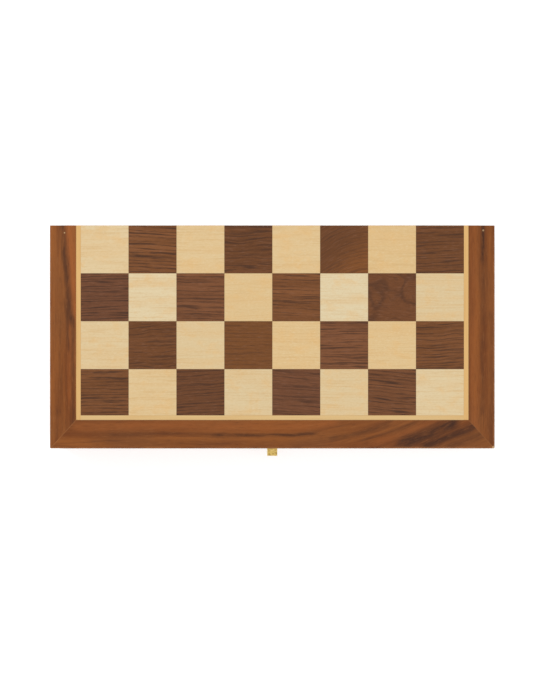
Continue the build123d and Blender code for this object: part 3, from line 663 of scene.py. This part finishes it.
def foam_tray(name, row, direction, men_x, node, body):
    """Flocked foam tray with a slot for each man.

    A profile is carried round the comb-shaped plan: straight up the wall, then a quarter circle inward
    onto the top. Each level of the profile moves every run of the plan inward by the same amount.
    """
    low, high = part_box(node)
    upper = low.z > split_level
    near, far = (low.y, high.y) if direction > 0 else (high.y, low.y)
    head_line = far + direction * head_overhang
    slots = []
    for centre, man in zip(men_x, row):
        kind = kind_of(man)
        foot = head_line - direction * tallness[kind]
        wide = foot_radius[kind] + slot_clearance
        narrow = body_share[kind] * foot_radius[kind] + slot_clearance
        start = foot - direction * (pad_thickness + slot_clearance)
        slots.append((centre, wide, narrow, start, foot + direction * slot_foot_share * tallness[kind]))
    corners, radii = tray_corners(near, far, high.x, slots)
    run = np.roll(corners, -1, axis=0) - corners
    run /= np.linalg.norm(run, axis=1, keepdims=True)
    inward = direction * np.stack([-run[:, 1], run[:, 0]], axis=1)
    both = inward + np.roll(inward, 1, axis=0)

    turn = np.linspace(0, np.pi / 2, 6)
    insets = np.concatenate([[0.0], top_rounding * (1 - np.cos(turn)), [top_rounding + top_lip]])
    foot_level, top_level = (high.z, low.z) if upper else (low.z, high.z)
    up = -1 if upper else 1
    levels = np.concatenate([[foot_level], top_level - up * top_rounding * (1 - np.sin(turn)), [top_level]])
    rings = []
    for inset, level in zip(insets, levels):
        reach = np.maximum(np.abs(radii) - np.sign(radii) * inset, least_corner)
        plan = rounded_outline(corners + both * inset, reach)
        rings.append(np.column_stack([plan, np.full(len(plan), level)]))
    points = np.array(rings)
    count = points.shape[1]
    first = list(range(count))
    last = list(range((len(rings) - 1) * count, len(rings) * count))
    piece = new_piece(name, points, grid_faces(len(rings), count), tray_flock, [first, last])
    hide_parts(node)
    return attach(piece, body)


def lining_cloth(name, node, body):
    """Felt laid on the inside of the panel.

    The face is a grid over the panel. Its height is the felt's thickness less two waves that cross,
    each the ripple times one plus the sine of a slanted measure, in radians. The back is the same grid,
    flat on the panel.
    """
    low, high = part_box(node)
    upper = low.z > split_level
    back, front = (high.z, low.z) if upper else (low.z, high.z)
    across, along = 91, 43
    u, v = np.meshgrid(np.linspace(0, 1, across), np.linspace(0, 1, along), indexing="ij")
    x = low.x + u * (high.x - low.x)
    y = low.y + v * (high.y - low.y)
    waves = ripple * (2 + np.sin(x * 260 + 40 * y) + np.sin(y * 310 - 55 * x))
    z = front + waves * (1 if upper else -1)
    top = np.stack([x, y, z], axis=-1)
    under = np.stack([x, y, np.full_like(z, back)], axis=-1)
    i, j = np.meshgrid(np.arange(across - 1), np.arange(along - 1), indexing="ij")
    corner, beyond = i * along + j, (i + 1) * along + j
    face = np.stack([corner, beyond, beyond + 1, corner + 1], axis=-1).reshape(-1, 4)
    count = across * along
    border = np.concatenate([
        np.arange(across) * along, (across - 1) * along + np.arange(1, along),
        np.arange(across - 2, -1, -1) * along + along - 1, np.arange(along - 2, 0, -1),
    ])
    follow = np.roll(border, -1)
    wall = np.stack([border, follow, follow + count, border + count], axis=-1)
    faces = np.concatenate([face, face + count, wall]).tolist()
    piece = new_piece(name, np.concatenate([top.reshape(-1, 3), under.reshape(-1, 3)]), faces, lining_felt)
    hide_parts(node)
    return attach(piece, body)


def foot_pads(name, places, node, body):
    """The felt discs under the feet of one colour.

    Each disc is a profile turned about the man's axis: flat faces, and a rim that bulges as half an
    ellipse. Its points are the axis point plus radius times cosine and sine of the turn.
    """
    angle = full_turn(48)
    bulge = np.linspace(-np.pi / 2, np.pi / 2, 7)
    points, faces, start = [], [], 0
    for x, foot, level, direction, radius in places:
        share = np.concatenate([[0.0, 0.5], 1 - pad_rim / radius * (1 - np.cos(bulge)), [0.5, 0.0]])
        rise = np.concatenate([[-1, -1], np.sin(bulge), [1, 1]]) * pad_thickness / 2
        rings = np.stack([
            x + radius * share[:, None] * np.cos(angle),
            foot - direction * pad_thickness / 2 + rise[:, None] + 0 * angle,
            level + radius * share[:, None] * np.sin(angle),
        ], axis=-1)
        points.append(rings.reshape(-1, 3))
        faces += (np.array(grid_faces(*rings.shape[:2])) + start).tolist()
        start += len(points[-1])
    piece = new_piece(name, np.concatenate(points), faces, foot_felt)
    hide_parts(node)
    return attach(piece, body)


# Carved knights. Stations are shares of the foot's radius and of the height, from the foot up.
# Foot: distance from the axis, level, and how far the stretch that ends there bows out
knight_foot = (
    (0.97, 0.000, 0.0), (0.97, 0.075, 0.08), (0.87, 0.100, 0.0), (0.80, 0.165, 0.18),
    (0.70, 0.185, 0.0), (0.62, 0.240, -0.10), (0.76, 0.265, 0.0), (0.76, 0.295, 0.30), (0.0, 0.295, 0.0),
)
# Horse: crest or nose, throat or jaw, and half the thickness, from the foot over the poll to the muzzle
horse_stations = (
    (-0.64, 0.29, 0.62, 0.29, 0.56), (-0.75, 0.40, 0.50, 0.36, 0.54), (-0.75, 0.52, 0.32, 0.44, 0.50),
    (-0.68, 0.64, 0.18, 0.505, 0.43), (-0.55, 0.76, 0.12, 0.555, 0.40), (-0.36, 0.86, 0.14, 0.590, 0.43),
    (-0.12, 0.915, 0.24, 0.600, 0.43), (0.14, 0.885, 0.38, 0.580, 0.36), (0.38, 0.825, 0.52, 0.560, 0.29),
    (0.60, 0.765, 0.66, 0.550, 0.26), (0.77, 0.705, 0.78, 0.560, 0.26), (0.86, 0.655, 0.85, 0.595, 0.19),
    (0.875, 0.625, 0.875, 0.625, 0.0),
)
# How far along the horse, from 0 at the foot to 1 at the muzzle, its features lie
mane_end, throat_place, jaw_place = 0.46, 0.37, 0.46
eye_place, mouth_start, nostril_place = 0.595, 0.78, 0.875
mane_locks = 15
# A section's waves are raised to this power, which draws them towards a square
section_power = 0.86
# Ear: half its width, how far from the axis its root stands back and to the side, and its root's level
ear_width, ear_back, ear_side, ear_level = 0.16, 0.16, 0.185, 0.885


def smooth_through(stations, count):
    """A curve through the stations: each stretch is the cubic whose slopes follow the neighbours."""
    stations = np.asarray(stations)
    padded = np.vstack([stations[:1], stations, stations[-1:]])
    place = np.linspace(0, len(stations) - 1, count)
    index = np.minimum(place.astype(int), len(stations) - 2)
    part = (place - index)[:, None]
    before, start, end, after = (padded[index + step] for step in range(4))
    return 0.5 * (
        2 * start + (end - before) * part + (2 * before - 5 * start + 4 * end - after) * part ** 2
        + (3 * start - before - 3 * end + after) * part ** 3)


def with_pole(rings):
    """The rings with a first ring added that is the middle of the old first one, to close the shell."""
    pole = np.repeat(rings[:1].mean(axis=1, keepdims=True), rings.shape[1], axis=1)
    return np.concatenate([pole, rings])


def foot_rings(turns, steps=7):
    """The turned foot: each stretch of its outline bows out as a parabola, and the outline is turned."""
    outline = [np.zeros((1, 2))]
    scale = np.array([foot_radius["knight"], tallness["knight"]])
    for start, end in zip(knight_foot, knight_foot[1:]):
        first, last = np.array(start[:2]) * scale, np.array(end[:2]) * scale
        along = last - first
        t = np.linspace(0, 1, steps)[:, None]
        bow = end[2] * 4 * t * (1 - t) * np.array([along[1], -along[0]])
        outline.append(first + along * t + bow)
    outline = np.concatenate(outline)
    away, level = outline[:, :1], outline[:, 1:]
    return np.stack([away * np.cos(turns), away * np.sin(turns), level + 0 * turns], axis=-1)


def horse_rings(turns, count=150):
    """The horse's neck and head: a rounded section carried from the foot over the poll to the muzzle.

    A section's middle is halfway from the crest side to the throat side. From it a point goes out by
    the half depth times the cosine of the turn, and by the half thickness times its sine, both drawn
    a little towards a square. Waves along the crest carve the mane. Bells of a given place and width
    raise the eyes and sink their sockets, the nostrils and the mouth.
    """
    radius, height = foot_radius["knight"], tallness["knight"]
    station = smooth_through(horse_stations, count) * np.array([radius, height, radius, height, radius])
    crest, throat, thick = station[:, None, 0:2], station[:, None, 2:4], np.maximum(station[:, None, 4], 0)
    u = np.linspace(0, 1, count)[:, None]
    v = (turns + np.pi) % (2 * np.pi) - np.pi
    side = np.abs(v)

    def bell(at_u, wide_u, at_v, wide_v):
        """1 at a place along the horse and round it, and down to 0 about it."""
        return np.exp(-((u - at_u) / wide_u) ** 2 - ((side - at_v) / wide_v) ** 2)

    def squared(wave):
        """A wave from -1 to 1, drawn a little towards a square."""
        return np.sign(wave) * np.abs(wave) ** section_power

    neck = 1 / (1 + np.exp((u - mane_end) / 0.02))
    mane = 0.06 * neck * np.exp(-(side / 0.35) ** 2)
    locks = np.sin(2 * np.pi * (mane_locks * u + 1.1 * side))
    mane += 0.035 * neck * np.exp(-(side / 1.1) ** 4) * locks
    eyes = 0.26 * bell(eye_place, 0.013, 1.15, 0.14) - 0.16 * bell(eye_place, 0.034, 1.15, 0.34)
    nostrils = -0.30 * bell(nostril_place, 0.014, 1.25, 0.22)
    mouth = -0.20 / (1 + np.exp((mouth_start - u) / 0.01)) * np.exp(-((side - 2.25) / 0.13) ** 2)
    jaw = 0.06 * bell(jaw_place, 0.060, 1.75, 0.55) - 0.05 * bell(throat_place, 0.030, 1.9, 0.45)
    swell = 1 + mane + eyes + nostrils + mouth + jaw
    reach = squared(np.cos(v)) * swell
    width = squared(np.sin(v)) * swell
    plan = (crest + throat) / 2 + (crest - throat) / 2 * reach[:, :, None]
    return with_pole(np.stack([plan[:, :, 0], width * thick, plan[:, :, 1]], axis=-1))


def ear_rings(turns, way, count=14):
    """An ear: a leaf on the poll whose radius falls as a root to its tip, less a bell at its front."""
    radius, height = foot_radius["knight"], tallness["knight"]
    t = np.linspace(0, 1, count)[:, None]
    wide = ear_width * radius * np.sqrt(1 - t ** 2) * (0.75 + t * (1 - t))
    from_front = (turns + 0.3 + np.pi) % (2 * np.pi) - np.pi
    hollow = 1 - 0.45 * np.exp(-(from_front / 0.7) ** 2)
    x = (0.10 * t - ear_back) * radius + wide * hollow * np.cos(turns)
    y = way * (ear_side + 0.02 * t) * radius + 0.8 * wide * np.sin(turns)
    z = (ear_level + 0.112 * t) * height + 0 * turns
    return with_pole(np.stack([x, y, z], axis=-1))


def carved_knight(name, x, foot, level, direction, node, body, finish):
    """Knight lying in its slot: turned foot, carved horse and two ears, each a closed shell."""
    shells = [foot_rings(full_turn(64)), horse_rings(full_turn(96))]
    shells += [ear_rings(full_turn(24), way) for way in (-1, 1)]
    points, faces, start = [], [], 0
    for rings in shells:
        ahead, thick, high = rings[..., 0], rings[..., 1], rings[..., 2]
        lying = np.stack([x + ahead, foot + direction * high, level + thick], axis=-1)
        points.append(lying.reshape(-1, 3))
        faces += (np.array(grid_faces(*rings.shape[:2])) + start).tolist()
        start += len(points[-1])
    piece = new_piece(name, np.concatenate(points), faces, finish)
    piece.data.set_sharp_from_angle(angle=crease_angle)
    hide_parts(node)
    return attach(piece, body)


def middle_x(node):
    """Where the middle of a node lies across the board."""
    low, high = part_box(node)
    return (low.x + high.x) / 2


for half, colour, direction in (("lower", "white", 1), ("upper", "black", -1)):
    body = f"{half}_half"
    men_x = [middle_x(f"{colour}_{man}") for man in officers]
    officer_node, pawn_node = f"{half}_officer_foam", f"{half}_pawn_foam"
    foam_tray(f"{half}_officer_tray", officers, direction, men_x, officer_node, body)
    foam_tray(f"{half}_pawn_tray", pawns, -direction, men_x, pawn_node, body)
    lining_cloth(f"{half}_lining_cloth", f"{half}_lining", body)
    lining_low, lining_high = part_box(f"{half}_lining")
    wood, wood_slot = (boxwood, "boxwood") if colour == "white" else (ebonised, "ebonised_wood")
    places = []
    for row, way, node in ((officers, direction, officer_node), (pawns, -direction, pawn_node)):
        low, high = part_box(node)
        far = high.y if way > 0 else low.y
        for x, man in zip(men_x, row):
            kind = kind_of(man)
            foot = far + way * (head_overhang - tallness[kind])
            clear = slot_clearance + foot_radius[kind]
            level = lining_high.z + clear if half == "lower" else lining_low.z - clear
            places.append((x, foot, level, way, foot_radius[kind] - pad_inset))
            if kind == "knight":
                knight = f"{colour}_{man}"
                carved_knight(f"{knight}_carving", x, foot, level, way, knight, body, wood)
    foot_pads(f"{colour}_foot_pads", places, f"{colour}_felt_pads", body)


# Stage, lamps and camera. Where the camera or a reflection sees them, floor and room are white
floor_reach = 3.0
floor_grey = 0.9
floor_glow = 0.50
sky_level = 0.62
seen_by = ("Is Camera Ray", "Is Glossy Ray", "Is Transmission Ray")


def studio_floor():
    """Pale floor: white to the camera and in reflections, with the object's soft shadow on it."""
    f = Finish("studio_floor", roughness=0.9, gloss=0.0)
    path = f.tree.nodes.new("ShaderNodeLightPath")
    camera_ray, glossy_ray, clear_ray = (path.outputs[kind] for kind in seen_by)
    seen = f.calc("MAXIMUM", f.calc("MAXIMUM", camera_ray, glossy_ray), clear_ray)
    f.shader.inputs["Base Color"].default_value = (floor_grey, floor_grey, floor_grey, 1.0)
    f.shader.inputs["Emission Color"].default_value = (1.0, 1.0, 1.0, 1.0)
    f.put(f.shader.inputs["Emission Strength"], f.scaled(seen, floor_glow))
    mesh = bpy.data.meshes.new("floor")
    corners = [(x * floor_reach, y * floor_reach, 0) for x, y in ((-1, -1), (1, -1), (1, 1), (-1, 1))]
    mesh.from_pydata(corners, [], [(0, 1, 2, 3)])
    mesh.materials.append(f.material)
    floor = placed("floor", mesh)


def room_light():
    """Even daylight from all round, which is white where the camera or a reflection sees it."""
    world = bpy.data.worlds.new("studio")
    bpy.context.scene.world = world
    world.use_nodes = True
    nodes, links = world.node_tree.nodes, world.node_tree.links
    path = nodes.new("ShaderNodeLightPath")
    seen = path.outputs[seen_by[0]]
    for kind in seen_by[1:]:
        widest = nodes.new("ShaderNodeMath")
        widest.operation = "MAXIMUM"
        links.new(seen, widest.inputs[0])
        links.new(path.outputs[kind], widest.inputs[1])
        seen = widest.outputs[0]
    level = nodes.new("ShaderNodeMapRange")
    level.inputs["To Min"].default_value = sky_level
    level.inputs["To Max"].default_value = 1.0
    links.new(seen, level.inputs["Value"])
    background = nodes["Background"]
    background.inputs["Color"].default_value = (1.0, 1.0, 1.0, 1.0)
    links.new(level.outputs["Result"], background.inputs["Strength"])


def soft_lamp(name, place, aim, side, watts):
    """Square softbox at a place, turned to face a point."""
    light = bpy.data.lights.new(name, "AREA")
    light.shape = "SQUARE"
    light.size = side
    light.energy = watts
    lamp = placed(name, light)
    lamp.rotation_euler = (aim - place).to_track_quat("-Z", "Y").to_euler()
    lamp.location = place


studio_floor()
room_light()
middle = (cad_low + cad_high) / 2
soft_lamp("key_softbox", Vector((-0.9, 1.0, 1.25)), middle, side=1.0, watts=11.0)
soft_lamp("fill_softbox", Vector((1.1, -0.7, 1.2)), middle, side=1.2, watts=7.0)

# The photograph looks straight down, from this far above the playing face, a little off the middle
camera_height = 1.4
photo_view_height = 0.599
eye_x, eye_y = -1.97 * mm, -7.7 * mm
lens = bpy.data.cameras.new("camera")
lens.sensor_width = 36.0
lens.lens = lens.sensor_width * camera_height / photo_view_height
camera = placed("camera", lens)
camera.location = (eye_x, eye_y, face_level + camera_height)
bpy.context.scene.camera = camera
bpy.context.scene.view_settings.view_transform = "Standard"
